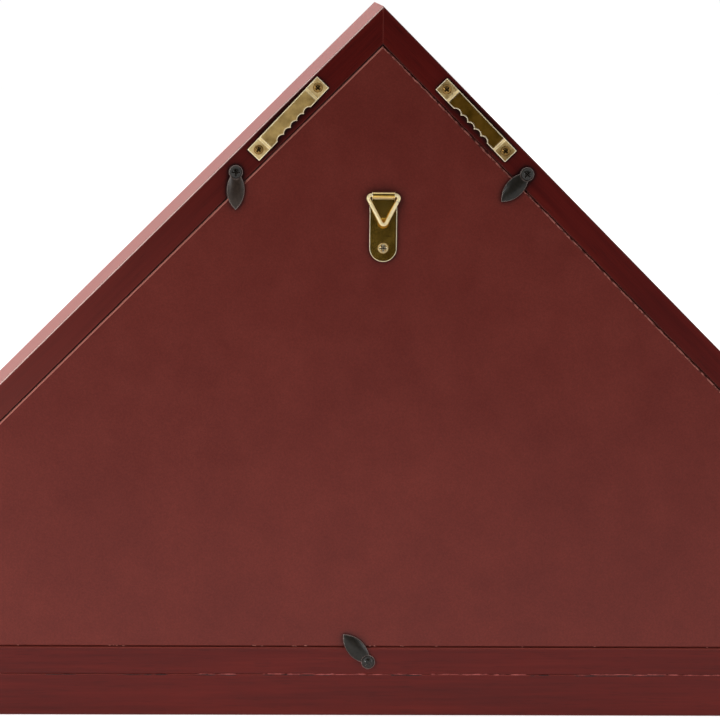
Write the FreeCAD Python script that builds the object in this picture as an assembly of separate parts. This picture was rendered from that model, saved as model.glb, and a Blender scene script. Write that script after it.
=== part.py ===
import FreeCAD, Part
import math
import os

from FreeCAD import Placement, Rotation, Vector

# A folded flag display case: a right-angled triangular shadow box on a base board, loaded from the back.
# Sizes are millimetres, +Z is up, the glass faces -Y and the lift-out back panel faces +Y.
# The origin is the middle of the base board's underside. Left and right are as seen from the front.

# Rails: the three mitred boards of the triangle, each with a moulded lip at the front
case_width = 635.0          # across the outer lower corners; the apex is square, so the height is half of it
case_depth = 83.0           # front face to back edge of the rails
rail_thickness = 12.7
lip_width = 9.3             # how far the lip reaches in past the board, over the glass
lip_thickness = 7.0
lip_edge = 2.5              # thickness left at the lip's inner edge
cove_width = 8.0
cove_sag = 0.9
quirk_depth = 1.0           # the small step between the flat face and the cove
front_round = 3.0
back_ease = 0.8             # rounding of the outer back edge
seat_ease = 0.3             # bevel of the inner back edge, beside the panel

# Base board under the bottom rail, flush with it at the back
base_thickness = 19.5
base_side_overhang = 16.0
base_front_overhang = 12.0
base_round = 6.0            # rounding of the top edge at the front and both ends
base_reveal = 2.5           # upright face below the rounding
base_step = 1.5             # ledge at the foot of that face
base_ease = 0.8             # rounding of the lower edges

# Glass, liner strips and back panel
glass_thickness = 2.0
glass_clearance = 0.8
liner_thickness = 3.0
panel_thickness = 5.0
panel_clearance = 0.5
panel_recess = 0.1          # how far the panel lies below the rails' back edges
panel_ease = 0.8            # bevel round the panel's outer face
tip_cut = 5.0               # blunting of the glass's and the panel's two sharp tips

# Corner nails: V-shaped strips driven across each mitre near the front and near the back
nail_leg = 6.0
nail_sheet = 0.6
nail_height = 10.0
nail_sunk = 3.0             # from the back edge, and from the back of the glass, to the nail

# Countersunk screws that hold the base board to the bottom rail
base_screw_radius = 1.75
base_screw_head = 3.6
base_screw_head_height = 2.2
base_screw_sunk = 0.3
base_screw_bite = 9.0       # how far the screw enters the bottom rail
base_screw_clearance = 0.15
base_screw_pitch = 160.0
base_screw_count = 4

# Domed screws of the hardware, and the cross slots of all the screws
head_rim = 0.35             # upright edge of a domed head
cross_width = 0.7
cross_depth = 0.8
cross_margin = 1.0          # from the end of a cross slot to the edge of the head
screw_tip = 2.5
hole_clearance = 0.1

# Toothed hangers, one on each sloping rail
hanger_length = 47.5
hanger_width = 7.7
hanger_sheet = 0.9
hanger_rise = 1.1           # how far the toothed strip stands off the rail
hanger_tab = 7.2            # flat end that takes the screw
hanger_ramp = 1.3
hanger_from_apex = 69.0     # outer apex to the hanger's middle, along the rail
hanger_tilt = {"left": -0.7, "right": 1.8}
scallop_pitch = 4.5
scallop_depth = 1.3
scallop_margin = 2.5        # plain edge at each end of the toothed run
hanger_screw_radius = 1.1
hanger_screw_head = 2.3
hanger_screw_head_height = 1.3
hanger_screw_bite = 9.0

# Turn buttons: leaf-shaped latches that turn on a screw and hold the back panel in
button_reach = 17.8         # pivot to the tip of the leaf
button_pivot_radius = 3.3
button_leaf_root = 1.0      # how far the leaf's outline runs past the pivot
button_leaf_width = 8.4
button_plate = 1.2
button_crown = 1.9          # thickness in the middle of the leaf
button_edge = 0.8           # thickness at the sides of the leaf
button_end = 0.9            # thickness at the ends of the leaf
button_lift = 0.3           # running gap between the button and the rail
button_head_gap = 0.15
button_head_clearance = 0.3
button_shift = 0.6          # side buttons' pivots from the middle of the rail, inwards
button_from_hanger = 11.4   # lower end of the hanger to the pivot
button_bottom_shift = 4.0   # pivot of the bottom button, from the middle of the case
button_angle = {"left": 2.5, "right": -45.0, "bottom": 42.0}
button_screw_radius = 1.5
button_screw_clearance = 0.08
button_screw_head = 2.9
button_screw_head_height = 1.7
button_screw_bite = 11.0

# Hanger ring and its strap in the upper middle of the back panel
ring_wire = 0.9             # radius of the wire
ring_half_bar = 8.15        # half of the bar, to the corner of the wire's middle line
ring_height = 15.7          # bar to the apex of the wire's middle line
ring_bend = 1.5
ring_seam = 0.25            # gap where the two ends of the wire meet
ring_seam_past_bend = 1.0
ring_clearance = 0.1
ring_side_gap = 0.2
ring_rest_gap = 0.2         # between the resting ring and the strap
ring_below_apex = 88.9      # outer apex of the case to the ring's bar
strap_shift = -1.0          # strap's middle from the middle of the case
strap_sheet = 0.6
strap_gap = 0.06            # between the two layers of the folded strip
strap_width = 12.9
strap_shoulder_start = 2.4
strap_shoulder_end = 5.4
strap_length = 31.5         # ring's bar to the rounded end
clinch_below_bar = 13.4     # the pressed dimple that locks the two layers together
clinch_radius = 2.6
clinch_depth = 0.35
strap_screw_radius = 1.3
strap_screw_head = 2.6
strap_screw_head_height = 1.5
strap_screw_bite = 4.0

# Places that follow from the sizes above
base_depth = case_depth + base_front_overhang
back_y = base_depth / 2
front_y = back_y - case_depth
glass_y = front_y + lip_thickness
liner_y = glass_y + glass_thickness
panel_back_y = back_y - panel_recess
panel_front_y = panel_back_y - panel_thickness
apex_z = base_thickness + case_width / 2
leg_length = case_width / math.sqrt(2)
corner_reach = 1 + math.sqrt(2)     # a lower corner's shift along the base for each millimetre of inset
incentre_inset = case_width / 2 / corner_reach
outside = 10.0                      # how far cutting tools reach past what they cut
arc_bend = 1 - math.sqrt(0.5)       # middle of a quarter round, from either side, as a share of its radius

y_axis = Vector(0, 1, 0)
slope_middle = base_thickness + case_width / 4
side_frames = {
    "bottom": Placement(Vector(0, 0, base_thickness), Rotation(y_axis, 0)),
    "right": Placement(Vector(case_width / 4, 0, slope_middle), Rotation(y_axis, -135)),
    "left": Placement(Vector(-case_width / 4, 0, slope_middle), Rotation(y_axis, 135)),
}
side_corners = {"bottom": ("left", "right"), "right": ("right", "apex"), "left": ("apex", "left")}
toward_apex = {"left": -1, "right": 1}


# Shared shapes
def placed(shape, placement):
    """A copy of a shape, moved by a placement."""
    moved = shape.copy()
    moved.Placement = placement.multiply(moved.Placement)
    return moved


def outline(start, *steps):
    """A face bounded by straight runs (a step is a point) and arcs (a step is a pair: through, end)."""
    edges = []
    here = start
    for step in (*steps, start):
        if isinstance(step, tuple):
            through, end = step
            edges.append(Part.Arc(here, through, end).toShape())
        else:
            end = step
            if end.isEqual(here, 1e-7):
                continue
            edges.append(Part.LineSegment(here, end).toShape())
        here = end
    return Part.Face(Part.Wire(edges))


def prism(points, start_y, end_y):
    """A prism over (x, z) points, from start_y to end_y."""
    ring = [Vector(x, start_y, z) for x, z in points]
    return outline(*ring).extrude(Vector(0, end_y - start_y, 0))


def y_cylinder(radius, start_y, end_y, x=0.0, z=0.0):
    return Part.makeCylinder(radius, end_y - start_y, Vector(x, start_y, z), y_axis)


def inset_corners(inset):
    """The corners (x, z) of the outer triangle once its three sides are moved inwards by inset."""
    x = case_width / 2 - inset * corner_reach
    z = base_thickness + inset
    return {"left": (-x, z), "right": (x, z), "apex": (0.0, apex_z - inset * math.sqrt(2))}


def mitred(bar, side):
    """A long bar laid along one side, cut at the mitres of that side's two corners."""
    corners = inset_corners(-outside)
    first, second = side_corners[side]
    incentre = inset_corners(incentre_inset)["apex"]
    wedge = prism([corners[first], corners[second], incentre], front_y - outside, back_y + outside)
    return placed(bar, side_frames[side]).common(wedge)


def triangle_plate(inset, start_y, end_y):
    """A triangular sheet that clears the rails' outer faces by inset, with its two sharp tips blunted."""
    corners = inset_corners(inset)
    x, z = corners["right"]
    x -= tip_cut
    return prism([(-x, z), (x, z), (x, z + tip_cut), corners["apex"], (-x, z + tip_cut)], start_y, end_y)


def on_rail(side, run, inset, turn):
    """A frame on a rail's back edge, run along it from its middle and inset from its outer face:
    X along the rail, Y out of the back, Z towards the middle of the case, then turned about Y."""
    return side_frames[side].multiply(Placement(Vector(run, back_y, inset), Rotation(y_axis, turn)))


def run_from_apex(side, along):
    """The place along a sloping rail, from its middle, of a point that is measured from the outer apex."""
    return toward_apex[side] * (leg_length / 2 - along)


def cross_slot(head, floor, top):
    """The two crossed slots of a screw head, as a cutter along Y from floor to top."""
    reach = 2 * (head - cross_margin)
    bars = []
    for length, width in ((reach, cross_width), (cross_width, reach)):
        bars.append(Part.makeBox(length, top - floor, width, Vector(-length / 2, floor, -width / 2)))
    return bars


def domed_screw(shank, head, head_height, under_head):
    """A screw along Y with its seat at y = 0, a domed head above it and a pointed shank below."""
    rise = head_height - head_rim
    radius = (head ** 2 + rise ** 2) / (2 * rise)
    half_angle = math.asin(head / radius) / 2
    dome = Vector(radius * math.sin(half_angle), head_height - radius * (1 - math.cos(half_angle)), 0)
    profile = outline(
        Vector(0, -under_head, 0),
        Vector(shank, screw_tip - under_head, 0),
        Vector(shank, 0, 0),
        Vector(head, 0, 0),
        Vector(head, head_rim, 0),
        (dome, Vector(0, head_height, 0)),
    )
    screw = profile.revolve(Vector(0, 0, 0), y_axis, 360)
    return screw.cut(cross_slot(head, head_height - cross_depth, head_height + outside))


# Wooden box
def rail_bar():
    """A length of rail moulding: X along it, Y its depth, Z inwards from the outer face."""
    def at(depth, inwards):
        return Vector(-case_width, front_y + depth, inwards)

    lip = rail_thickness + lip_width
    cove_top = lip - cove_width
    lip_face = lip_thickness - lip_edge
    cove_middle = at((quirk_depth + lip_face) / 2 + cove_sag, lip - cove_width / 2)
    front_bend = front_round * arc_bend
    back_bend = back_ease * arc_bend
    profile = outline(
        at(case_depth, back_ease),
        at(case_depth, rail_thickness - seat_ease),
        at(case_depth - seat_ease, rail_thickness),
        at(lip_thickness, rail_thickness),
        at(lip_thickness, lip),
        at(lip_face, lip),
        (cove_middle, at(quirk_depth, cove_top)),
        at(0, cove_top),
        at(0, front_round),
        (at(front_bend, front_bend), at(front_round, 0)),
        at(case_depth - back_ease, 0),
        (at(case_depth - back_bend, back_bend), at(case_depth, back_ease)),
    )
    return profile.extrude(Vector(2 * case_width, 0, 0))


def liner_bar():
    """A length of liner strip, from the back of the glass to the front of the back panel."""
    start = Vector(-case_width, liner_y, rail_thickness)
    return Part.makeBox(2 * case_width, panel_front_y - liner_y, liner_thickness, start)


def corner_nails():
    """Two V-shaped nails at each corner, sunk into the wood with their fold on the mitre."""
    centre = Vector(0, 0, inset_corners(incentre_inset)["apex"][1])
    nails = []
    for x, z in inset_corners(rail_thickness / 2).values():
        fold = Vector(x, 0, z)
        inwards = (centre - fold).normalize()
        across = Vector(inwards.z, 0, -inwards.x)
        thick = inwards * (nail_sheet * math.sqrt(2))
        ends = [fold + (inwards + across * way) * (nail_leg * math.sqrt(0.5)) for way in (1, -1)]
        ring = [fold, ends[0], ends[0] + thick, fold + thick, ends[1] + thick, ends[1]]
        chevron = [(point.x, point.z) for point in ring]
        for start in (liner_y + nail_sunk, back_y - nail_sunk - nail_height):
            nails.append(prism(chevron, start, start + nail_height))
    return nails


def rounded_slab(width, front, floor, top, radius, level, with_back):
    """A slab from front to the back of the case, with its edges at one level rounded.
    The back edge is rounded only if with_back is true."""
    slab = Part.makeBox(width, back_y - front, top - floor, Vector(-width / 2, front, floor))
    chosen = []
    for edge in slab.Edges:
        box = edge.BoundBox
        at_level = abs(box.ZMin - level) < 1e-6 and abs(box.ZMax - level) < 1e-6
        at_back = abs(box.YMin - back_y) < 1e-6
        if at_level and (with_back or not at_back):
            chosen.append(edge)
    return slab.makeFillet(radius, chosen)


def base_board():
    """The base: a slab whose top edge is rounded and stands on a small ledge, at the front and both ends."""
    width = case_width + 2 * base_side_overhang
    ledge = base_thickness - base_round - base_reveal
    lower = rounded_slab(width, -base_depth / 2, 0, ledge, base_ease, 0, True)
    top_front = base_step - base_depth / 2
    top_width = width - 2 * base_step
    upper = rounded_slab(top_width, top_front, ledge, base_thickness, base_round, base_thickness, False)
    return lower.fuse(upper).removeSplitter()


def base_screws():
    """Countersunk screws up through the base board into the bottom rail, and the holes that they need."""
    first = -base_screw_pitch * (base_screw_count - 1) / 2
    seat = base_screw_sunk + base_screw_head_height
    point = base_thickness + base_screw_bite
    middle_y = (liner_y + panel_front_y) / 2
    upright = Rotation(Vector(1, 0, 0), 90)
    profile = outline(
        Vector(0, base_screw_sunk, 0),
        Vector(base_screw_head, base_screw_sunk, 0),
        Vector(base_screw_radius, seat, 0),
        Vector(base_screw_radius, point - screw_tip, 0),
        Vector(0, point, 0),
    )
    screw = profile.revolve(Vector(0, 0, 0), y_axis, 360)
    screw = screw.cut(cross_slot(base_screw_head, 0, base_screw_sunk + cross_depth))
    sink = Part.makeCone(
        base_screw_head, base_screw_radius, base_screw_head_height, Vector(0, base_screw_sunk, 0), y_axis
    )
    mouth = y_cylinder(base_screw_head, 0, base_screw_sunk)
    bore = y_cylinder(base_screw_radius + base_screw_clearance, 0, base_thickness)
    hole = sink.multiFuse([mouth, bore])
    screws, holes = [], []
    for index in range(base_screw_count):
        spot = Placement(Vector(first + index * base_screw_pitch, middle_y, 0), upright)
        screws.append(placed(screw, spot))
        holes.append(placed(hole, spot))
    return screws, holes


# Hardware on the rails
def hanger_frame(side):
    run = run_from_apex(side, hanger_from_apex)
    return on_rail(side, run, rail_thickness / 2, hanger_tilt[side])


def hanger_screw_places():
    """Where a hanger's two screws stand along it: in the middle of its tabs."""
    reach = (hanger_length - hanger_tab) / 2
    return -reach, reach


def toothed_hanger():
    """A pressed strip with flat screw tabs and a raised middle whose inner edge is scalloped into teeth."""
    end = hanger_length / 2
    step = end - hanger_tab
    crest = step - hanger_ramp
    low, high = hanger_rise, hanger_rise + hanger_sheet
    half = hanger_width / 2
    under = [(-end, 0), (-step, 0), (-crest, low), (crest, low), (step, 0), (end, 0)]
    over = [(end, hanger_sheet), (step, hanger_sheet), (crest, high)]
    over += [(-crest, high), (-step, hanger_sheet), (-end, hanger_sheet)]
    strip = outline(*[Vector(x, y, -half) for x, y in under + over]).extrude(Vector(0, 0, hanger_width))
    count = int(2 * (crest - scallop_margin) / scallop_pitch)
    radius = ((scallop_pitch / 2) ** 2 + scallop_depth ** 2) / (2 * scallop_depth)
    cuts = []
    for index in range(count):
        middle = (index - (count - 1) / 2) * scallop_pitch
        cuts.append(y_cylinder(radius, -outside, outside, middle, half - scallop_depth + radius))
    for x in hanger_screw_places():
        cuts.append(y_cylinder(hanger_screw_radius + hole_clearance, -outside, outside, x))
    return strip.cut(cuts)


def hanger_screws():
    under_head = hanger_sheet + hanger_screw_bite
    screw = domed_screw(hanger_screw_radius, hanger_screw_head, hanger_screw_head_height, under_head)
    screws = []
    for side in toward_apex:
        for x in hanger_screw_places():
            seat = hanger_frame(side).multiply(Placement(Vector(x, hanger_sheet, 0), Rotation()))
            screws.append(placed(screw, seat))
    return screws


def button_frame(side):
    """The frame of a turn button's pivot on the rail's back edge, with Z along the leaf as it rests."""
    if side == "bottom":
        return on_rail(side, button_bottom_shift, rail_thickness / 2, button_angle[side])
    along = hanger_from_apex + hanger_length / 2 + button_from_hanger
    return on_rail(side, run_from_apex(side, along), rail_thickness / 2 + button_shift, button_angle[side])


def crown_radius(reach, drop):
    """The radius of an arc that falls by drop at reach from its top."""
    return (reach ** 2 + drop ** 2) / (2 * drop)


def turn_button():
    """A leaf-shaped latch: a round pivot plate and a crowned leaf that thins towards its sides and ends."""
    half = button_leaf_width / 2
    middle = (button_reach - button_leaf_root) / 2
    floor = button_lift
    root, tip = Vector(0, floor, -button_leaf_root), Vector(0, floor, button_reach)
    leaf = outline(
        root,
        (Vector(half, floor, middle), tip),
        (Vector(-half, floor, middle), root),
    ).extrude(Vector(0, button_crown, 0))
    across = crown_radius(half, button_crown - button_edge)
    lengthways = crown_radius(button_reach - middle, button_crown - button_end)
    centre = Vector(0, floor + button_crown - lengthways, middle)
    leaf = leaf.common(Part.makeTorus(lengthways - across, across, centre, Vector(1, 0, 0)))
    plate_top = floor + button_plate
    plate = y_cylinder(button_pivot_radius, floor, plate_top)
    hole = y_cylinder(button_screw_radius + button_screw_clearance, 0, plate_top + outside)
    head_seat = y_cylinder(button_screw_head + button_head_clearance, plate_top, plate_top + outside)
    return plate.fuse(leaf).removeSplitter().cut([head_seat, hole])


def button_screws():
    seat = button_lift + button_plate + button_head_gap
    screw = domed_screw(
        button_screw_radius, button_screw_head, button_screw_head_height, seat + button_screw_bite
    )
    screw.translate(Vector(0, seat, 0))
    return [placed(screw, button_frame(side)) for side in side_frames]


# Hanger ring and strap on the back panel: X along the ring's bar, Y out of the panel, Z up from the bar
strap_frame = Placement(Vector(strap_shift, panel_back_y, apex_z - ring_below_apex), Rotation())
bore_radius = ring_wire + ring_clearance
bar_height = strap_sheet + bore_radius
strap_top = 2 * strap_sheet + strap_gap
strap_screw_drop = strap_length - strap_width / 2
ring_corner_run = ring_bend / math.tan(math.atan2(ring_height, ring_half_bar) / 2)
strap_loop_width = min(strap_width, 2 * (ring_half_bar - ring_corner_run - ring_side_gap))
ring_over_strap = strap_top + ring_rest_gap + ring_wire - bar_height
ring_lean = math.degrees(math.asin(2 * ring_over_strap / (strap_shoulder_start + strap_shoulder_end)))


def hanger_strap():
    """A strip folded double round the ring's bar, with narrow shoulders at the loop and a rounded end."""
    half, loop_half = strap_width / 2, strap_loop_width / 2
    bar_start = Vector(-half, bar_height, 0)
    loop = Part.makeCylinder(bore_radius + strap_sheet, strap_width, bar_start, Vector(1, 0, 0))
    bore = Part.makeCylinder(bore_radius, strap_width, bar_start, Vector(1, 0, 0))
    lower = Part.makeBox(strap_width, strap_sheet, strap_length, Vector(-half, 0, -strap_length))
    upper_start = Vector(-half, strap_sheet + strap_gap, -strap_length)
    upper = Part.makeBox(strap_width, strap_sheet, strap_length - bore_radius, upper_start)
    strip = loop.multiFuse([lower, upper]).cut(bore)

    def at(x, z):
        return Vector(x, -outside, z)

    shape = outline(
        at(-loop_half, outside),
        at(loop_half, outside),
        at(loop_half, -strap_shoulder_start),
        at(half, -strap_shoulder_end),
        at(half, -strap_screw_drop),
        (at(0, -strap_length), at(-half, -strap_screw_drop)),
        at(-half, -strap_shoulder_end),
        at(-loop_half, -strap_shoulder_start),
    ).extrude(Vector(0, 2 * outside, 0))
    dent_radius = crown_radius(clinch_radius, clinch_depth)
    dent = Part.makeSphere(dent_radius, Vector(0, strap_top + dent_radius - clinch_depth, -clinch_below_bar))
    hole = y_cylinder(strap_screw_radius + hole_clearance, -outside, outside, 0, -strap_screw_drop)
    return placed(strip.common(shape).cut([dent, hole]), strap_frame)


def strap_screw():
    under_head = strap_top + strap_screw_bite
    screw = domed_screw(strap_screw_radius, strap_screw_head, strap_screw_head_height, under_head)
    screw.translate(Vector(0, strap_top, -strap_screw_drop))
    return placed(screw, strap_frame)


def bent_wire(points, bend):
    """A path of straight runs through points, with an arc of radius bend at each inner point."""
    edges = []
    here = points[0]
    for before, corner, after in zip(points, points[1:], points[2:]):
        back = (before - corner).normalize()
        ahead = (after - corner).normalize()
        half_angle = back.getAngle(ahead) / 2
        reach = bend / math.tan(half_angle)
        middle = (back + ahead).normalize() * (bend / math.sin(half_angle) - bend)
        start, end = corner + back * reach, corner + ahead * reach
        edges.append(Part.LineSegment(here, start).toShape())
        edges.append(Part.Arc(start, corner + middle, end).toShape())
        here = end
    edges.append(Part.LineSegment(here, points[-1]).toShape())
    return Part.Wire(edges)


def hanger_ring():
    """A triangle of bent wire whose bar turns in the strap's loop. Its two ends meet on one leg."""
    right = Vector(ring_half_bar, 0, 0)
    left = Vector(-ring_half_bar, 0, 0)
    apex = Vector(0, 0, -ring_height)
    leg = (apex - left).normalize()
    start = left + leg * (ring_corner_run + ring_seam_past_bend)
    path = bent_wire([start, left, right, apex, start + leg * ring_seam], ring_bend)
    section = Part.Wire(Part.makeCircle(ring_wire, start, leg))
    ring = path.makePipeShell([section], True, False)
    rest = Placement(Vector(0, bar_height, 0), Rotation(Vector(1, 0, 0), ring_lean))
    return placed(ring, strap_frame.multiply(rest))


def back_panel(screw):
    """The lift-out back, bevelled round its outer face and drilled for the strap's screw."""
    panel = triangle_plate(rail_thickness + panel_clearance, panel_front_y, panel_back_y)
    rim = [edge for edge in panel.Edges if abs(edge.BoundBox.YMin - panel_back_y) < 1e-6]
    return panel.makeChamfer(panel_ease, rim).cut(screw)


# The whole case, one entry for each named piece
def build():
    nails = corner_nails()
    up_screws, up_holes = base_screws()
    tooth_screws = hanger_screws()
    latch_screws = button_screws()
    panel_screw = strap_screw()
    driven_in = nails + up_screws + tooth_screws + latch_screws
    parts = {
        "base_board": base_board().cut(up_holes),
        "base_screws": Part.makeCompound(up_screws),
        "corner_nails": Part.makeCompound(nails),
        "glass_pane": triangle_plate(rail_thickness + glass_clearance, glass_y, liner_y),
        "back_panel": back_panel(panel_screw),
        "hanger_strap": hanger_strap(),
        "hanger_strap_screw": panel_screw,
        "hanger_ring": hanger_ring(),
        "toothed_hanger_screws": Part.makeCompound(tooth_screws),
        "turn_button_screws": Part.makeCompound(latch_screws),
    }
    for side in side_frames:
        parts[f"{side}_rail"] = mitred(rail_bar(), side).cut(driven_in)
        parts[f"{side}_liner"] = mitred(liner_bar(), side)
        parts[f"{side}_turn_button"] = placed(turn_button(), button_frame(side))
    for side in toward_apex:
        parts[f"{side}_toothed_hanger"] = placed(toothed_hanger(), hanger_frame(side))
    return parts


os.makedirs("parts", exist_ok=True)
for name, shape in build().items():
    shape.exportStep(f"parts/{name}.step")
    print(name, len(shape.Solids), "solids,", round(shape.Volume, 1), "mm3, valid:", shape.isValid())
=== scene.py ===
import math
import random

import bmesh
import bpy
from mathutils import Matrix, Vector


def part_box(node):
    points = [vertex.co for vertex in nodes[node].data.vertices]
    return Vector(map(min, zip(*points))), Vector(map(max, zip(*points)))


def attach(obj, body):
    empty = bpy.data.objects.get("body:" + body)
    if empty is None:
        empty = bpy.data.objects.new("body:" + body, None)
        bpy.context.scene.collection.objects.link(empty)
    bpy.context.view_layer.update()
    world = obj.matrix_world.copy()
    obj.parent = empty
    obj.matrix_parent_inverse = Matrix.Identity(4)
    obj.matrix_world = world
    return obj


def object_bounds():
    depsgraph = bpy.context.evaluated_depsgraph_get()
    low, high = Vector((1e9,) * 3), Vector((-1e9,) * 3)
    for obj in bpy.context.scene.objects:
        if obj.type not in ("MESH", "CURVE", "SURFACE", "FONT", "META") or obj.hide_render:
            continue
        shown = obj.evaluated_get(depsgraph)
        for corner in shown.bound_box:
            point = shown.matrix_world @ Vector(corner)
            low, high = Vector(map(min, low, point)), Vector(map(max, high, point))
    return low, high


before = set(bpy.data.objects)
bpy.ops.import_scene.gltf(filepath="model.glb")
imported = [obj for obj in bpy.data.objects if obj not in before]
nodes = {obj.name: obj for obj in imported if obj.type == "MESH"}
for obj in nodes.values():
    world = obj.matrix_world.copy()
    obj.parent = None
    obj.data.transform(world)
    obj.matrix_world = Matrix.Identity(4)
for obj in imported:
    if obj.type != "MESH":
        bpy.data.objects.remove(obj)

cad_box = [list(corner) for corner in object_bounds()]


# Rails
# Three hardwood boards mitred into a triangle, with a coved lip at the front for the glass. They are
# stained mahogany red and sealed with satin lacquer, thin on the arrises. Painted shade darkens them round
# the fittings. On the right rail a painted highlight runs along the outer back arris, and a painted sheen
# lightens the lacquer towards the foot.
MM = 0.001
RAIL_GRAIN = {"left_rail": 45.0, "right_rail": -45.0, "bottom_rail": 0.0}
RAIL_ARRIS = 0.22 * MM
SHARP_ANGLE = math.radians(35.0)
SEAM_GAP = 0.001 * MM
SIDE_STAIN = ((58, 8, 7), (78, 14, 10), (92, 21, 15))
LOWER_STAIN = ((66, 13, 10), (86, 20, 15), (100, 28, 21))
STAIN_PLACES = (0.30, 0.52, 0.75)
FIGURE = (5, 60, 60)
STREAKS = (14, 420, 420)
PORES = (90, 2200, 2200)
PORE_STAIN = (38, 7, 6)
PORE_DEPTH = 0.35
THIN_LACQUER = (150, 80, 70)
THIN_SHARE = 0.5
THIN_WIDTH = 0.5 * MM
# A painted sheen: the right rail is painted lighter towards its foot, below a given height.
PAINTED_FOOT_SHEEN = (138, 74, 66)
FOOT_SHEEN_FULL, FOOT_SHEEN_GONE = 0.13, 0.29
FOOT_SHEEN_SHARE = {"right_rail": 0.26}
# A painted highlight: a near-white line on the upper outer back arris of the right rail.
ARRIS_HIGHLIGHT = (255, 218, 208)
ARRIS_HIGHLIGHT_WIDTH = 1.0 * MM
ARRIS_HIGHLIGHT_LEAN = 0.72
ARRIS_HIGHLIGHT_SHARE = {"right_rail": 0.8}
# Painted shade: the lacquer is darkened within a reach of the fittings, where their shade falls.
CORNER_SHADE = (14, 3, 4)
CORNER_SHADE_REACH = 7.0 * MM
RAIL_CORNER_SHADE = {"left_rail": 0.85, "right_rail": 0.85}
SATIN = (0.26, 0.38)
SATIN_GLOSS = 0.2
SHEEN = (255, 124, 108)


def linear(colour):
    """A colour written as 0 to 255 sRGB values, as the linear RGBA that a shader takes."""
    shares = [value / 255 for value in colour]
    return [s / 12.92 if s <= 0.04045 else ((s + 0.055) / 1.055) ** 2.4 for s in shares] + [1.0]


def wire(tree, node, sockets):
    """Links or sets the inputs of a shader node."""
    for name, value in sockets.items():
        if isinstance(value, bpy.types.NodeSocket):
            tree.links.new(value, node.inputs[name])
        else:
            node.inputs[name].default_value = value


def put(tree, kind, sockets=None, **settings):
    """A new shader node with its settings, and its inputs either linked or set."""
    node = tree.nodes.new(kind)
    for name, value in settings.items():
        setattr(node, name, value)
    wire(tree, node, sockets or {})
    return node


def new_finish(name):
    """An empty finish: the material, its node tree and its surface shader."""
    material = bpy.data.materials.new(name)
    material.use_nodes = True
    tree = material.node_tree
    return material, tree, tree.nodes["Principled BSDF"]


def spot(tree):
    """Where a point of the surface is in the row frame, in metres."""
    return put(tree, "ShaderNodeTexCoord").outputs["Object"]


def along(tree, turn, stretch):
    """Row-frame coordinates turned about Y so that X runs with the grain, then scaled for a texture."""
    turned = put(tree, "ShaderNodeMapping", {"Vector": spot(tree), "Rotation": (0, math.radians(turn), 0)})
    scaled = put(tree, "ShaderNodeMapping", {"Vector": turned.outputs["Vector"], "Scale": stretch})
    return scaled.outputs["Vector"]


def axes(tree, vector):
    """The X, Y and Z of a vector."""
    return put(tree, "ShaderNodeSeparateXYZ", {"Vector": vector}).outputs


def cloud(tree, vector, scale=1.0, detail=3.0, roughness=0.5):
    """Noise with so many waves to a unit of its coordinates, as a factor."""
    return put(tree, "ShaderNodeTexNoise", {
        "Vector": vector, "Scale": scale, "Detail": detail, "Roughness": roughness,
    }).outputs["Fac"]


def ramp(tree, factor, stops):
    """A colour ramp through (place, linear colour) stops."""
    node = put(tree, "ShaderNodeValToRGB", {"Fac": factor})
    points = node.color_ramp.elements
    while len(points) < len(stops):
        points.new(0.5)
    for point, (place, colour) in zip(points, stops):
        point.position = place
        point.color = colour
    return node.outputs["Color"]


def toned(tree, factor, places, colours):
    """A ramp through colours written as sRGB, each at its place."""
    return ramp(tree, factor, [(place, linear(colour)) for place, colour in zip(places, colours)])


def spread(tree, factor, low, high, start=0.0, end=1.0):
    """A factor from start to end spread over low to high."""
    return put(tree, "ShaderNodeMapRange", {
        "Value": factor, "From Min": start, "From Max": end, "To Min": low, "To Max": high,
    }).outputs["Result"]


def combine(tree, how, first, second=0.0):
    """One or two factors worked together, such as by ABSOLUTE or MULTIPLY."""
    return put(tree, "ShaderNodeMath", {0: first, 1: second}, operation=how).outputs["Value"]


def near(tree, value, aim, inner, outer, full=1.0):
    """Full where a value is within inner of its aim, falling to 0 at outer."""
    off = combine(tree, "ABSOLUTE", combine(tree, "SUBTRACT", value, aim))
    return spread(tree, off, full, 0.0, inner, outer)


def blend(tree, factor, first, second):
    """From the first colour or factor, at 0, to the second, at 1."""
    node = put(tree, "ShaderNodeMix", data_type="RGBA", blend_type="MIX")
    wire(tree, node, {0: factor, 6: first, 7: second})
    return node.outputs[2]


def relief(tree, height, strength, distance, normal=None):
    """Fine relief from a height, on the true surface or on another normal."""
    bump = put(tree, "ShaderNodeBump", {"Height": height, "Strength": strength, "Distance": distance})
    if normal:
        wire(tree, bump, {"Normal": normal})
    return bump.outputs["Normal"]


def rounded_normal(tree, radius):
    """The normal that the surface would have with its arrises rounded."""
    return put(tree, "ShaderNodeBevel", {"Radius": radius}, samples=6).outputs["Normal"]


def arris_wear_and_highlight(tree, radius, full=0.75):
    """1 on the arrises and 0 on the flats, from how far a rounded normal leaves the true one,
    and the rounded normal itself."""
    rounded = rounded_normal(tree, radius)
    true = put(tree, "ShaderNodeNewGeometry").outputs["Normal"]
    match = put(tree, "ShaderNodeVectorMath", {0: rounded, 1: true}, operation="DOT_PRODUCT")
    return spread(tree, match.outputs["Value"], 1.0, 0.0, start=full, end=0.99), rounded


def painted_corner_shade(tree, colour, depth):
    """A colour darkened in the corners round the fittings: painted shade, where their shade falls."""
    corner = put(tree, "ShaderNodeAmbientOcclusion", {"Distance": CORNER_SHADE_REACH}, samples=8).outputs["AO"]
    shade_share = spread(tree, corner, depth, 0.0, start=0.72, end=0.99)
    return blend(tree, shade_share, colour, linear(CORNER_SHADE))


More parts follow.
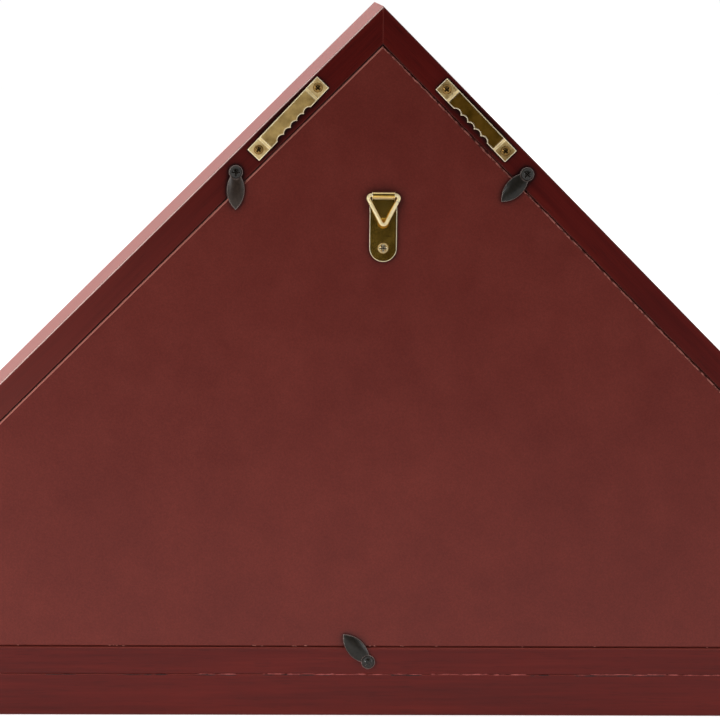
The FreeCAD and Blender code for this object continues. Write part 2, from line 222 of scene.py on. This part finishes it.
def lacquered_mahogany(name, grain, stain, foot_sheen=0.0, painted_arris_highlight=0.0, corner_shade=0.0):
    """Stained wood with figure, streaks and pores along the grain, paler on the arrises. It may be given a
    painted sheen that lightens it towards its foot, a painted highlight along an upper back arris, and
    painted shade that darkens it round the fittings, each by a share."""
    material, tree, shader = new_finish(name)
    figure = cloud(tree, along(tree, grain, FIGURE), detail=4.0, roughness=0.6)
    streaks = cloud(tree, along(tree, grain, STREAKS), detail=5.0, roughness=0.65)
    pores = cloud(tree, along(tree, grain, PORES), detail=2.0)
    colour = toned(tree, blend(tree, 0.55, figure, streaks), STAIN_PLACES, stain)
    pore = spread(tree, pores, PORE_DEPTH, 0.0, start=0.30, end=0.40)
    colour = blend(tree, pore, colour, linear(PORE_STAIN))
    # A painted sheen, lighter towards the foot.
    if foot_sheen:
        sheened = spread(tree, axes(tree, spot(tree))["Z"], foot_sheen, 0.0, FOOT_SHEEN_FULL, FOOT_SHEEN_GONE)
        colour = blend(tree, sheened, colour, linear(PAINTED_FOOT_SHEEN))
    thinned = spread(tree, arris_wear_and_highlight(tree, THIN_WIDTH)[0], 0.0, THIN_SHARE)
    colour = blend(tree, thinned, colour, linear(THIN_LACQUER))
    # A painted highlight along the upper back arris, only on arrises that face up.
    if painted_arris_highlight:
        lean = axes(tree, rounded_normal(tree, ARRIS_HIGHLIGHT_WIDTH))
        arris = near(tree, lean["Y"], ARRIS_HIGHLIGHT_LEAN, inner=0.12, outer=0.26, full=painted_arris_highlight)
        upper = spread(tree, lean["Z"], 0.0, 1.0, start=0.08, end=0.2)
        colour = blend(tree, combine(tree, "MULTIPLY", arris, upper), colour, linear(ARRIS_HIGHLIGHT))
    if corner_shade:
        colour = painted_corner_shade(tree, colour, corner_shade)
    wire(tree, shader, {
        "Base Color": colour,
        "Roughness": spread(tree, streaks, *SATIN),
        "Normal": relief(tree, streaks, strength=0.10, distance=0.2 * MM),
        "Specular IOR Level": SATIN_GLOSS,
        "Sheen Weight": 0.72,
        "Sheen Roughness": 0.25,
        "Sheen Tint": linear(SHEEN),
    })
    return material


def ease(piece, width, steps=2):
    """Joins a CAD mesh along its seams and eases its sharp edges by a hair, or by none at width 0.
    One step gives a flat chamfer, and more steps a round."""
    joined = piece.modifiers.new("joined", "WELD")
    joined.merge_threshold = SEAM_GAP
    if width:
        rounded = piece.modifiers.new("rounded", "BEVEL")
        rounded.width = width
        rounded.segments = steps
        rounded.limit_method = "ANGLE"
        rounded.angle_limit = SHARP_ANGLE
        rounded.use_clamp_overlap = True
        rounded.mark_sharp = steps == 1
    flats = piece.modifiers.new("flats", "WEIGHTED_NORMAL")
    flats.keep_sharp = True
    flats.weight = 100


def dress(name, material):
    """Puts a finish on a CAD node in place of the one it came with."""
    piece = nodes[name]
    piece.data.materials.clear()
    piece.data.materials.append(material)
    return piece


for rail, grain in RAIL_GRAIN.items():
    stain = LOWER_STAIN if rail == "bottom_rail" else SIDE_STAIN
    foot_sheen, painted_arris_highlight, corner_shade = (share.get(rail, 0.0) for share in (FOOT_SHEEN_SHARE, ARRIS_HIGHLIGHT_SHARE, RAIL_CORNER_SHADE))
    finish = lacquered_mahogany("mahogany_" + rail, grain, stain, foot_sheen, painted_arris_highlight, corner_shade)
    ease(dress(rail, finish), RAIL_ARRIS)


# Corner nails
# V-shaped strips of bright steel, pressed across each mitre near the front and near the back.
STEEL = ((150, 150, 148), (190, 189, 185))
STEEL_MATT = (0.28, 0.48)
STEEL_EDGE = 0.05 * MM


def worn_steel(name):
    """Bare steel with a fine cloudy dulling."""
    material, tree, shader = new_finish(name)
    dull = cloud(tree, spot(tree), scale=900, detail=4.0)
    wire(tree, shader, {
        "Base Color": toned(tree, dull, (0.3, 0.7), STEEL),
        "Roughness": spread(tree, dull, *STEEL_MATT),
        "Metallic": 1.0,
    })
    return material


steel = worn_steel("bright_steel")
ease(dress("corner_nails", steel), STEEL_EDGE)


# Base board
# A thicker board of the same wood under the bottom rail, rounded over at the front and ends, with the
# grain along its length. It is flush with the rails at the back.
ease(dress("base_board", lacquered_mahogany("mahogany_base_board", 0.0, LOWER_STAIN)), RAIL_ARRIS)


# Lacquer on the base joint
# The lacquer was brushed over the joint between the bottom rail and the base board after they were
# screwed together. It has cracked open in places, shown by dark lumps of painted shade, and dried in
# ridges in others, pale partly in their own colour and partly as a painted highlight.
JOINT_RUNS_MM = [
    (-310, -288, "ridge"), (-270, -262, "crack"), (-240, -196, "ridge"), (-186, -178, "crack"),
    (-165, -138, "ridge"), (-138, -96, "both"), (-83, -74, "crack"), (-72, -57, "ridge"),
    (-54, -27, "ridge"), (-22, -8, "both"), (-6, 21, "ridge"), (21, 53, "both"), (66, 84, "both"),
    (99, 122, "crack"), (142, 156, "crack"), (178, 214, "ridge"), (230, 236, "crack"), (252, 300, "both"),
]
JOINT_LEVEL = {"crack": -0.18 * MM, "ridge": 0.22 * MM}
JOINT_HEIGHT_MM = {"crack": (0.10, 0.16), "ridge": (0.2, 0.36)}
JOINT_HALF_WIDTH_MM = (0.22, 0.42)
JOINT_LENGTH_MM = (2.5, 11.0)
JOINT_OVERRUN = 1.0 * MM
JOINT_WANDER_MM = (-0.12, 0.12)
# Ridges are pale partly as a painted highlight, and the crack lumps are dark as painted shade.
PALE_AND_HIGHLIGHT_LACQUER = ((116, 44, 40), (168, 88, 82))
CRACK_SHADE = ((24, 6, 5), (46, 12, 10))
RIDGE_STATIONS = 12
RIDGE_SIDES = 8
RIDGE_TIP = 0.02
BACKWARDS = Vector((0, 1, 0))


def ridge(shell, start, end, out, half_width, height, wobble):
    """A closed ridge of lacquer from start to end that swells and thins and tapers at both ends."""
    along_ridge = end - start
    side = out.cross(along_ridge).normalized()
    rings = []
    for station in range(RIDGE_STATIONS + 1):
        share = station / RIDGE_STATIONS
        swell = math.sin(math.pi * share) ** 0.5 * wobble[station] if 0 < share < 1 else RIDGE_TIP
        middle = start + along_ridge * share
        rings.append([
            shell.verts.new(
                middle
                + side * (half_width * swell * math.cos(math.tau * turn / RIDGE_SIDES))
                + out * (height * swell * math.sin(math.tau * turn / RIDGE_SIDES))
            )
            for turn in range(RIDGE_SIDES)
        ])
    for first, second in zip(rings, rings[1:]):
        for turn in range(RIDGE_SIDES):
            after = (turn + 1) % RIDGE_SIDES
            shell.faces.new((first[turn], first[after], second[after], second[turn]))
    shell.faces.new(rings[0][::-1])
    shell.faces.new(rings[-1])


def finished_piece(name, shell, material, body):
    """A new piece from a mesh in the row frame, smooth, dressed and riding on a body."""
    bmesh.ops.recalc_face_normals(shell, faces=shell.faces)
    for face in shell.faces:
        face.smooth = True
    mesh = bpy.data.meshes.new(name)
    shell.to_mesh(mesh)
    shell.free()
    mesh.materials.append(material)
    piece = bpy.data.objects.new(name, mesh)
    bpy.context.scene.collection.objects.link(piece)
    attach(piece, body)


def dried_lacquer(name, tones):
    """Lacquer or paint that has dried in a lump, blotchy and half gloss."""
    material, tree, shader = new_finish(name)
    blotch = cloud(tree, spot(tree), scale=420, roughness=0.6)
    wire(tree, shader, {
        "Base Color": toned(tree, blotch, (0.35, 0.65), tones),
        "Roughness": spread(tree, blotch, 0.30, 0.50),
        "Specular IOR Level": 0.35,
    })
    return material


chance = random.Random(11)
base_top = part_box("base_board")[1]
shells = {"ridge": bmesh.new(), "crack": bmesh.new()}
for run_start, run_end, kind in JOINT_RUNS_MM:
    for layer, rise in JOINT_LEVEL.items():
        if kind not in (layer, "both"):
            continue
        place = run_start * MM
        while place < run_end * MM:
            room = run_end * MM - place + JOINT_OVERRUN
            length = min(chance.uniform(*JOINT_LENGTH_MM) * MM, room)
            level = base_top.z + rise + chance.uniform(*JOINT_WANDER_MM) * MM
            wobble = [chance.uniform(0.5, 1.0) for _ in range(RIDGE_STATIONS + 1)]
            half_width = chance.uniform(*JOINT_HALF_WIDTH_MM) * MM
            height = chance.uniform(*JOINT_HEIGHT_MM[layer]) * MM
            first = Vector((place, base_top.y, level))
            last = Vector((place + length, base_top.y, level))
            ridge(shells[layer], first, last, BACKWARDS, half_width, height, wobble)
            place += length * chance.uniform(0.8, 1.2)
pale_and_highlight_lacquer = dried_lacquer("pale_and_highlight_lacquer", PALE_AND_HIGHLIGHT_LACQUER)
crack_shade = dried_lacquer("crack_shade", CRACK_SHADE)
finished_piece("joint_ridges", shells["ridge"], pale_and_highlight_lacquer, "case")
finished_piece("joint_crack_shade", shells["crack"], crack_shade, "case")


# Base screws
# Four countersunk steel screws, driven up through the base board into the bottom rail.
ease(dress("base_screws", steel), STEEL_EDGE)


# Glass pane
# A 2 mm sheet of clear float glass with a faint green tint, laid in against the lip from behind. Nearly
# all light goes straight through it into the case, and it reflects a little.
GLASS_TINTS = [(0.3, (0.955, 0.985, 0.97, 1)), (0.7, (0.975, 0.992, 0.985, 1))]
GLASS_CLEAR = 0.9
GLASS_IOR = 1.5


def for_rays(tree, *kinds):
    """1 for the named kinds of ray and 0 for the rest."""
    path = put(tree, "ShaderNodeLightPath").outputs
    total = path[kinds[0]]
    for kind in kinds[1:]:
        total = combine(tree, "MAXIMUM", total, path[kind])
    return total


def surface(tree, shader):
    """Makes a shader other than the usual one the material's surface."""
    wire(tree, tree.nodes["Material Output"], {"Surface": shader.outputs["Shader"]})


def float_glass(name):
    """Clear glass that is a see-through sheet for light and shadow, with a little reflection."""
    material, tree, shader = new_finish(name)
    tint = ramp(tree, cloud(tree, spot(tree), scale=14), GLASS_TINTS)
    wire(tree, shader, {
        "Base Color": tint, "Roughness": 0.0, "Transmission Weight": 1.0, "IOR": GLASS_IOR,
    })
    clear = put(tree, "ShaderNodeBsdfTransparent", {"Color": tint})
    through = spread(tree, for_rays(tree, "Is Shadow Ray", "Is Diffuse Ray"), GLASS_CLEAR, 1.0)
    surface(tree, put(tree, "ShaderNodeMixShader", {
        0: through, 1: shader.outputs["BSDF"], 2: clear.outputs["BSDF"],
    }))
    return material


dress("glass_pane", float_glass("clear_glass"))


# Liner strips
# Three thin strips of stained wood round the inside, which hold the glass to the lip and carry the panel.
LINER_GRAIN = {"left_liner": 45.0, "right_liner": -45.0, "bottom_liner": 0.0}
LINER_ARRIS = 0.1 * MM

for liner, grain in LINER_GRAIN.items():
    ease(dress(liner, lacquered_mahogany("stained_" + liner, grain, SIDE_STAIN)), LINER_ARRIS)


# Back panel
# A triangle of thin fibreboard, sprayed with a red-brown paint that dries matt and slightly hazy. It lies
# loose between the rails just below their back edges. Where its eased edge faces up it is painted pale,
# patchily on one side, for wear and a painted highlight.
PANEL_PAINT = ((88, 28, 22), (97, 34, 27), (106, 40, 32))
PANEL_RUBBED_AND_HIGHLIGHT = (176, 110, 98)
PANEL_CORNER_SHADE = 0.5
PANEL_MATT = (0.32, 0.42)
PANEL_GLOSS = 0.25
EASED_LEAN = math.sqrt(0.5)


def facing(tree):
    """The way that the surface faces."""
    return axes(tree, put(tree, "ShaderNodeTexCoord").outputs["Normal"])


def sprayed_board(name):
    """Matt paint in drifts and mottles with a fine grit, painted pale on the upward-facing eased edge
    for wear and a painted highlight.
    """
    material, tree, shader = new_finish(name)
    place = spot(tree)
    drifts = cloud(tree, place, scale=9, roughness=0.55)
    mottle = cloud(tree, place, scale=75, detail=4.0, roughness=0.6)
    grit = cloud(tree, place, scale=1400, detail=2.0, roughness=0.6)
    mixed = blend(tree, 0.45, blend(tree, 0.5, drifts, mottle), grit)
    # Painted shade darkens the paint round the buttons and the strap.
    paint = painted_corner_shade(tree, toned(tree, mixed, (0.36, 0.50, 0.64), PANEL_PAINT), PANEL_CORNER_SHADE)
    way = facing(tree)
    eased = near(tree, way["Y"], EASED_LEAN, inner=0.08, outer=0.2)
    patches = cloud(tree, place, scale=340, detail=2.0)
    patchy = spread(tree, patches, 0.1, 1.0, start=0.46, end=0.54)
    clean = spread(tree, axes(tree, place)["X"], 0.0, 1.0, start=-1.0 * MM, end=1.0 * MM)
    # Wear and a painted highlight on the eased edge, only where it faces up.
    worn_and_lit = combine(tree, "MULTIPLY", eased, combine(tree, "MAXIMUM", patchy, clean))
    sloping = spread(tree, way["Z"], 0.0, 1.0, start=0.1, end=0.3)
    worn_and_lit = combine(tree, "MULTIPLY", worn_and_lit, sloping)
    wire(tree, shader, {
        "Base Color": blend(tree, worn_and_lit, paint, linear(PANEL_RUBBED_AND_HIGHLIGHT)),
        "Roughness": spread(tree, mottle, *PANEL_MATT),
        "Normal": relief(tree, grit, strength=0.12, distance=0.15 * MM),
        "Specular IOR Level": PANEL_GLOSS,
    })
    return material


ease(dress("back_panel", sprayed_board("sprayed_board")), 0.0)


# Paint nibs on the panel's edges
# The sawn edge of the fibreboard was left rough down one side, so the paint has dried there in short pale
# whiskers and nibs. The other side is clean, and the lower edge has a few nibs.
DRIED_PAINT = ((140, 78, 68), (184, 118, 106))
EASED_WIDTH = 0.8 * MM
NIB_FOOT = 5.0 * MM
NIB_SHORTEST_MM = 0.6
NIB_INSET_MM = (0.25, 0.75)
NIB_LEAN = (-0.22, 0.22)
NIB_HALF_WIDTH_MM = (0.10, 0.22)
NIB_HEIGHT_MM = (0.10, 0.20)

low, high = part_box("back_panel")
apex = Vector((0, high.y, high.z))
foot = Vector((low.x, high.y, low.z + NIB_FOOT))
panel_middle = Vector((0, high.y, 0.12))
lower_left, lower_right = Vector((low.x, high.y, low.z)), Vector((high.x, high.y, low.z))
chance = random.Random(5)
shell = bmesh.new()
for start, end, first, last, count, longest, swell in (
    (apex, foot, 0.03, 1.0, 150, 4.2, 1.0),
    (lower_left, lower_right, 0.05, 0.95, 22, 1.4, 1.8),
):
    run = end - start
    inward = BACKWARDS.cross(run).normalized()
    if inward.dot(panel_middle - start) < 0:
        inward = -inward
    for _ in range(count):
        share = chance.uniform(first, last)
        length = chance.uniform(NIB_SHORTEST_MM, longest) * MM
        inset = chance.uniform(*NIB_INSET_MM) * MM
        middle = start + run * share + inward * inset - BACKWARDS * (EASED_WIDTH - inset)
        lean = inward * chance.uniform(*NIB_LEAN) + run.normalized()
        half = lean.normalized() * (length / 2)
        wobble = [chance.uniform(0.55, 1.0) for _ in range(RIDGE_STATIONS + 1)]
        out = (BACKWARDS - inward).normalized()
        half_width = chance.uniform(*NIB_HALF_WIDTH_MM) * swell * MM
        height = chance.uniform(*NIB_HEIGHT_MM) * swell * MM
        ridge(shell, middle - half, middle + half, out, half_width, height, wobble)
finished_piece("panel_edge_nibs", shell, dried_lacquer("dried_paint", DRIED_PAINT), "panel")


# Hanger strap, its screw and the ring
# A strip of brass-plated steel folded round the ring's bar and screwed to the panel, and a triangle of
# plated wire that swings in the fold. The strap is tarnished, its rims painted pale for wear and a
# painted highlight. The ring is painted a pale brass all over, a painted highlight.
STRAP_BRASS = ((148, 112, 42), (198, 158, 68))
STRAP_MATT = (0.18, 0.30)
STRAP_CHAMFER = 0.24 * MM
# A painted highlight: the ring's brass is painted pale all over.
RING_HIGHLIGHT_BRASS = ((220, 200, 148), (248, 234, 196))
RING_MATT = (0.45, 0.60)
SCREW_BRASS = ((84, 62, 30), (128, 100, 56))
SCREW_MATT = (0.14, 0.26)
STRAP_SCREW_RIM_WIDTH = 0.3 * MM
STRAP_SCREW_EDGE = 0.08 * MM
# A painted highlight: sloping faces of the brass are painted paler.
SLOPE_HIGHLIGHT_BRASS = (238, 220, 168)
# Pale rims on the brass: part wear and part painted highlight.
RIM_WEAR_AND_HIGHLIGHT = (252, 244, 216)
RIM_WIDTH = 0.7 * MM
RIM_MATT = 0.38
PLATE_PLACES = (0.30, 0.62)
SCRATCHES = (240, 5200, 5200)
SCRATCH_TURN = 38


def plated_brass(name, tones, matt, slope_highlight=0.65, rim_width=RIM_WIDTH, edge=RIM_WEAR_AND_HIGHLIGHT, tabs=None):
    """Stained plating with fine scratches, painted paler on its slopes as a painted highlight. Its rims
    take
    a given colour: a pale one is wear and a painted highlight, a dark one painted shade. Tabs are the lower
    parts up to a level, with tones and a roughness of their own; their paler tones are a painted highlight."""
    material, tree, shader = new_finish(name)
    place = spot(tree)
    stains = cloud(tree, place, scale=160, detail=4.0, roughness=0.6)
    scratches = cloud(tree, along(tree, SCRATCH_TURN, SCRATCHES), roughness=0.6)
    plate = toned(tree, stains, PLATE_PLACES, tones)
    dulled = spread(tree, scratches, *matt)
    if tabs:
        top, lit_tab_tones, tab_matt = tabs
        on_tab = spread(tree, axes(tree, place)["Y"], 1.0, 0.0, start=top, end=top + 0.1 * MM)
        plate = blend(tree, on_tab, plate, toned(tree, stains, PLATE_PLACES, lit_tab_tones))
        dulled = blend(tree, on_tab, dulled, [tab_matt] * 3 + [1.0])
    # A painted highlight on the slopes.
    slope = spread(tree, facing(tree)["Y"], slope_highlight, 0.0, start=0.80, end=0.96)
    plate = blend(tree, slope, plate, linear(SLOPE_HIGHLIGHT_BRASS))
    # The rims take the edge colour: wear with a painted highlight when pale, painted shade when dark.
    rim, rounded = arris_wear_and_highlight(tree, rim_width, full=0.90)
    wire(tree, shader, {
        "Base Color": blend(tree, spread(tree, rim, 0.0, 0.9), plate, linear(edge)),
        "Roughness": blend(tree, rim, dulled, [RIM_MATT] * 3 + [1.0]),
        "Normal": relief(tree, scratches, strength=0.06, distance=0.05 * MM, normal=rounded),
        "Metallic": 1.0,
    })
    return material


strap_screw_brass = plated_brass(
    "strap_screw_brass", SCREW_BRASS, SCREW_MATT, slope_highlight=0.3, rim_width=STRAP_SCREW_RIM_WIDTH)
ease(dress("hanger_strap", plated_brass("plated_brass", STRAP_BRASS, STRAP_MATT)), STRAP_CHAMFER, 1)
ease(dress("hanger_strap_screw", strap_screw_brass), STRAP_SCREW_EDGE)
dress("hanger_ring", plated_brass("ring_highlight_brass", RING_HIGHLIGHT_BRASS, RING_MATT))


# Turn buttons and their screws
# Leaf-shaped latches pressed from thin steel, dipped in black enamel, each turning on a domed screw of
# the same black. The enamel is half gloss, its rims painted grey for wear and a painted highlight, and
# one leaf is a lighter, browner black.
BLACK = ((20, 18, 14), (34, 31, 26))
# One leaf's enamel is a lighter, browner black.
LIGHTER_BLACK = ((38, 30, 25), (58, 47, 40))
# Grey rims: part wear and part painted highlight.
RIM_WEAR_AND_HIGHLIGHT_GREY = (150, 132, 126)
LEAF_MATT, LEAF_GLOSS = (0.24, 0.36), 0.25
LEAF_RIM_WIDTH, LIGHTER_LEAF_RIM_WIDTH = 0.8 * MM, 1.1 * MM
BLACK_SCREW_MATT, BLACK_SCREW_GLOSS = (0.08, 0.14), 0.3
BLACK_SCREW_RIM_WIDTH = 0.05 * MM
ENAMELLED_EDGE = 0.15 * MM


def black_enamel(name, tones, matt, gloss, rim_width):
    """Dipped black enamel with a fine orange-peel skin, its rims painted grey for wear and a painted
    highlight.
    """
    material, tree, shader = new_finish(name)
    skin = cloud(tree, spot(tree), scale=700, detail=4.0, roughness=0.6)
    rim, rounded = arris_wear_and_highlight(tree, rim_width, full=0.92)
    dip = toned(tree, skin, (0.3, 0.7), tones)
    wire(tree, shader, {
        "Base Color": blend(tree, spread(tree, rim, 0.0, 0.8), dip, linear(RIM_WEAR_AND_HIGHLIGHT_GREY)),
        "Roughness": spread(tree, skin, *matt),
        "Normal": relief(tree, skin, strength=0.10, distance=0.06 * MM, normal=rounded),
        "Specular IOR Level": gloss,
    })
    return material


enamel = black_enamel("black_enamel", BLACK, LEAF_MATT, LEAF_GLOSS, LEAF_RIM_WIDTH)
lighter_enamel = black_enamel("lighter_enamel", LIGHTER_BLACK, LEAF_MATT, LEAF_GLOSS, LIGHTER_LEAF_RIM_WIDTH)
black_screw = black_enamel("black_screw", BLACK, BLACK_SCREW_MATT, BLACK_SCREW_GLOSS, BLACK_SCREW_RIM_WIDTH)
ease(dress("left_turn_button", enamel), ENAMELLED_EDGE)
ease(dress("right_turn_button", lighter_enamel), ENAMELLED_EDGE)
ease(dress("bottom_turn_button", enamel), ENAMELLED_EDGE)
ease(dress("turn_button_screws", black_screw), ENAMELLED_EDGE)


# Toothed hangers and their screws
# Strips of brass-plated steel with a raised scalloped edge, each held to a sloping rail by two domed
# brass screws. The right one is painted a lighter brass, as if lit, and the left one a darker olive, as
# if in shade. The end tabs are painted paler, a painted highlight, and the screws' rims painted shade.
# Painted light: the right hanger is painted lighter as if lit, the left darker as if shaded, and the tabs
# of both are painted paler as a painted highlight.
RIGHT_HANGER_LIT_BRASS = ((146, 119, 69), (200, 170, 108))
RIGHT_HANGER_LIT_TABS = ((176, 146, 90), (224, 200, 146))
RIGHT_HANGER_MATT, RIGHT_HANGER_TAB_MATT = (0.42, 0.6), 0.6
LEFT_HANGER_SHADED_BRASS = ((92, 66, 18), (134, 98, 34))
LEFT_HANGER_LIT_TABS = ((128, 98, 48), (206, 178, 122))
LEFT_HANGER_MATT, LEFT_HANGER_TAB_MATT = (0.30, 0.46), 0.5
TAB_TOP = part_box("right_toothed_hanger")[0].y + 0.95 * MM
HANGER_RIM_WIDTH = 1.0 * MM
HANGER_CHAMFER = 0.36 * MM
# Painted shade: the screw heads' rims and slot edges are painted dark.
SCREW_RIM_SHADE = (70, 50, 24)
SCREW_RIM_WIDTH = 0.25 * MM
SCREW_EDGE = 0.1 * MM

right_hanger_lit_brass = plated_brass(
    "lit_hanger_brass", RIGHT_HANGER_LIT_BRASS, RIGHT_HANGER_MATT, rim_width=HANGER_RIM_WIDTH,
    tabs=(TAB_TOP, RIGHT_HANGER_LIT_TABS, RIGHT_HANGER_TAB_MATT))
left_hanger_shaded_brass = plated_brass(
    "shaded_hanger_brass", LEFT_HANGER_SHADED_BRASS, LEFT_HANGER_MATT, rim_width=HANGER_RIM_WIDTH,
    tabs=(TAB_TOP, LEFT_HANGER_LIT_TABS, LEFT_HANGER_TAB_MATT))
screw_brass = plated_brass(
    "screw_brass", SCREW_BRASS, SCREW_MATT, slope_highlight=0.0, rim_width=SCREW_RIM_WIDTH, edge=SCREW_RIM_SHADE)
ease(dress("right_toothed_hanger", right_hanger_lit_brass), HANGER_CHAMFER, 1)
ease(dress("left_toothed_hanger", left_hanger_shaded_brass), HANGER_CHAMFER, 1)
ease(dress("toothed_hanger_screws", screw_brass), SCREW_EDGE)


# Floor
# A plain sheet of white paper under the case, which takes its shadow. It is lifted to white for the
# camera and for what metal and glass show of it.
FLOOR_HALF_WIDTH = 4.0
FLOOR_BEHIND = -7.0
FLOOR_AHEAD = 0.9
FLOOR_DROP = 0.05 * MM
PAPER_WHITE = 0.82
PAPER_LIFT = 0.5

sheet = bmesh.new()
sheet.faces.new([
    sheet.verts.new((x, y, cad_box[0][2] - FLOOR_DROP))
    for x, y in (
        (-FLOOR_HALF_WIDTH, FLOOR_BEHIND), (FLOOR_HALF_WIDTH, FLOOR_BEHIND),
        (FLOOR_HALF_WIDTH, FLOOR_AHEAD), (-FLOOR_HALF_WIDTH, FLOOR_AHEAD),
    )
])
floor_mesh = bpy.data.meshes.new("floor")
sheet.to_mesh(floor_mesh)
sheet.free()
floor = bpy.data.objects.new("floor", floor_mesh)
bpy.context.scene.collection.objects.link(floor)
paper, tree, shader = new_finish("white_paper")
wire(tree, shader, {"Base Color": [PAPER_WHITE] * 3 + [1.0], "Roughness": 0.9})
seen = for_rays(tree, "Is Camera Ray", "Is Glossy Ray", "Is Transmission Ray")
lift = put(tree, "ShaderNodeEmission", {"Strength": spread(tree, seen, 0.0, PAPER_LIFT)})
surface(tree, put(tree, "ShaderNodeAddShader", {0: shader.outputs["BSDF"], 1: lift.outputs["Emission"]}))
floor_mesh.materials.append(paper)


# Studio light
# A white room, bright all round but for a dark patch behind the camera. Two soft lights stand on the
# camera's side, the stronger at the left of the picture, and aim low, so the foot of the case is brightest.
LIGHTS = {
    "key": ((1.25, 1.55, 0.45), (0.12, 0.04, -0.25), 1.65),
    "fill": ((-1.5, 1.5, 0.45), (-0.14, 0.04, -0.25), 0.6),
}
LIGHT_SIZE = 0.6
LIGHT_SPREAD = math.radians(40.0)
ROOM_LEVEL = 1.2
ROOM_GREYS = ((0.30, 0.84), (0.42, 1.0), (0.725, 1.0), (0.875, 0.025))

for name, (stand, target, power) in LIGHTS.items():
    lamp = bpy.data.lights.new(name, "AREA")
    lamp.shape = "RECTANGLE"
    lamp.size = lamp.size_y = LIGHT_SIZE
    lamp.energy = power
    lamp.spread = LIGHT_SPREAD
    holder = bpy.data.objects.new(name, lamp)
    bpy.context.scene.collection.objects.link(holder)
    holder.location = stand
    holder.rotation_euler = (Vector(target) - Vector(stand)).to_track_quat("-Z", "Y").to_euler()

world = bpy.data.worlds.new("studio")
bpy.context.scene.world = world
world.use_nodes = True
tree = world.node_tree
way = axes(tree, put(tree, "ShaderNodeTexCoord").outputs["Generated"])
from_front_to_back = spread(tree, way["Y"], 0.0, 1.0, start=-1.0, end=1.0)
glow = ramp(tree, from_front_to_back, [(place, [grey] * 3 + [1.0]) for place, grey in ROOM_GREYS])
glow = combine(tree, "MULTIPLY", glow, ROOM_LEVEL)
seen = for_rays(tree, "Is Camera Ray", "Is Transmission Ray")
wire(tree, tree.nodes["Background"], {
    "Strength": combine(tree, "MAXIMUM", glow, seen), "Color": (1, 1, 1, 1),
})


# Camera
# A long lens on the back of the case, a little to its right side and above its middle.
LENS = 250.0
SENSOR_WIDTH = 36.0
FARTHEST = 100.0
STAND = (0.1277, 2.3977, 0.3945)
YAW, PITCH, ROLL = -2.885, -5.452, -0.602

camera = bpy.data.cameras.new("camera")
camera.sensor_fit = "HORIZONTAL"
camera.sensor_width = SENSOR_WIDTH
camera.lens = LENS
camera.clip_end = FARTHEST
holder = bpy.data.objects.new("camera", camera)
bpy.context.scene.collection.objects.link(holder)
ahead, across, up = Vector((0, -1, 0)), Vector((-1, 0, 0)), Vector((0, 0, 1))
turn = Matrix.Rotation(math.radians(YAW), 3, up)
ahead, across = turn @ ahead, turn @ across
tip = Matrix.Rotation(math.radians(PITCH), 3, across)
ahead, up = tip @ ahead, tip @ up
cant = Matrix.Rotation(math.radians(ROLL), 3, ahead)
across, up = cant @ across, cant @ up
holder.matrix_world = Matrix.Translation(STAND) @ Matrix((across, up, -ahead)).transposed().to_4x4()
bpy.context.scene.camera = holder
bpy.context.scene.view_settings.view_transform = "Standard"
